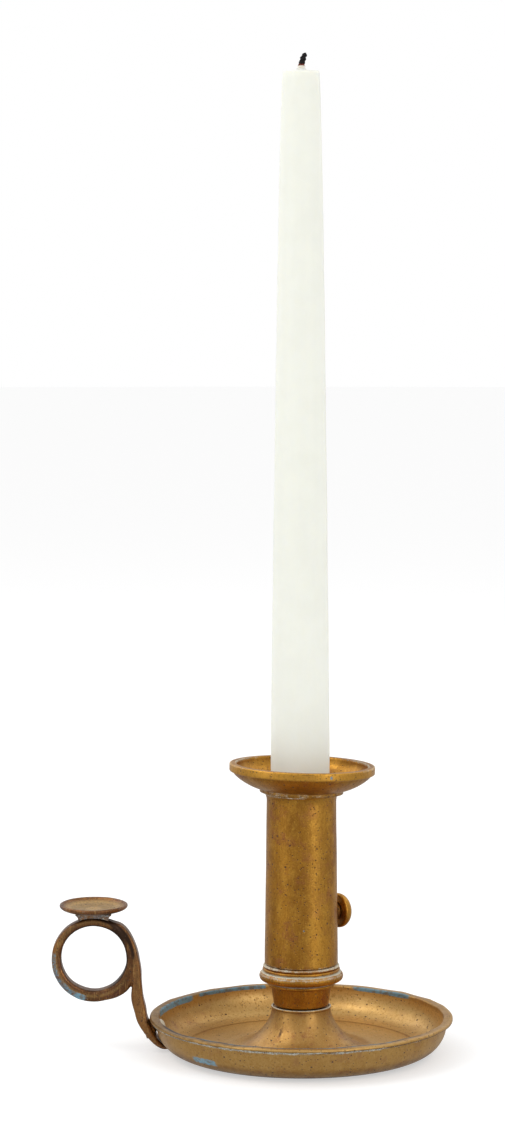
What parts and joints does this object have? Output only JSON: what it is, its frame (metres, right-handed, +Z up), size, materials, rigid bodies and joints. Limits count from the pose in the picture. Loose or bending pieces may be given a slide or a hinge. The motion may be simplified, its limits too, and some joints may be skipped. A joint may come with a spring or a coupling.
{
  "type": "candlestick",
  "caption": "Brass chamberstick with a drip pan, tubular stem with a push-up candle ejector, flared nozzle, finger-ring handle with thumb rest, and a tapered candle.",
  "frame": {"origin": "middle of the object's footprint, on the plane that the drip pan's foot stands on; the stem's axis is at x = 0.0183, y = 0", "axes": "+Z up along the stem and the candle; -X from the stem towards the handle; +Y to the side that the ejector knob leans to"},
  "size_m": [0.1506, 0.114, 0.3724],
  "materials": {
    "pan_brass": "aged, rubbed, with pits and green tarnish",
    "stem_brass": "aged golden brown, with polish residue in the grooves",
    "handle_brass": "dark aged cast brass",
    "fixing_brass": "dull turned brass",
    "spring_brass": "dull rolled strip",
    "wax": "smooth ivory candle wax",
    "wick": "braided cotton, charred at the tip"
  },
  "bodies": {
    "holder": {"drip_pan": "pan_brass", "stem_cup": "stem_brass", "stem_tube": "stem_brass", "nozzle": "stem_brass", "stem_washer": "fixing_brass", "stem_nut": "fixing_brass", "handle": "handle_brass", "handle_rivet": "fixing_brass", "thumb_saddle": "handle_brass", "thumb_rest": "handle_brass"},
    "ejector": {"ejector_pusher": "fixing_brass", "ejector_spring": "spring_brass", "spring_rivet": "fixing_brass", "ejector_stud": "fixing_brass", "ejector_collar": "fixing_brass", "ejector_knob": "stem_brass"},
    "candle": {"candle_wax": "wax", "candle_wick": "wick"}
  },
  "joints": [
    {"name": "ejector_slide", "type": "slide", "parent": "holder", "child": "ejector", "axis": [0, 0, 1], "range_m": [-0.008, 0.038]},
    {"name": "candle_lift", "type": "slide", "parent": "ejector", "child": "candle", "axis": [0, 0, 1], "range_m": [0, 0.06]}
  ]
}
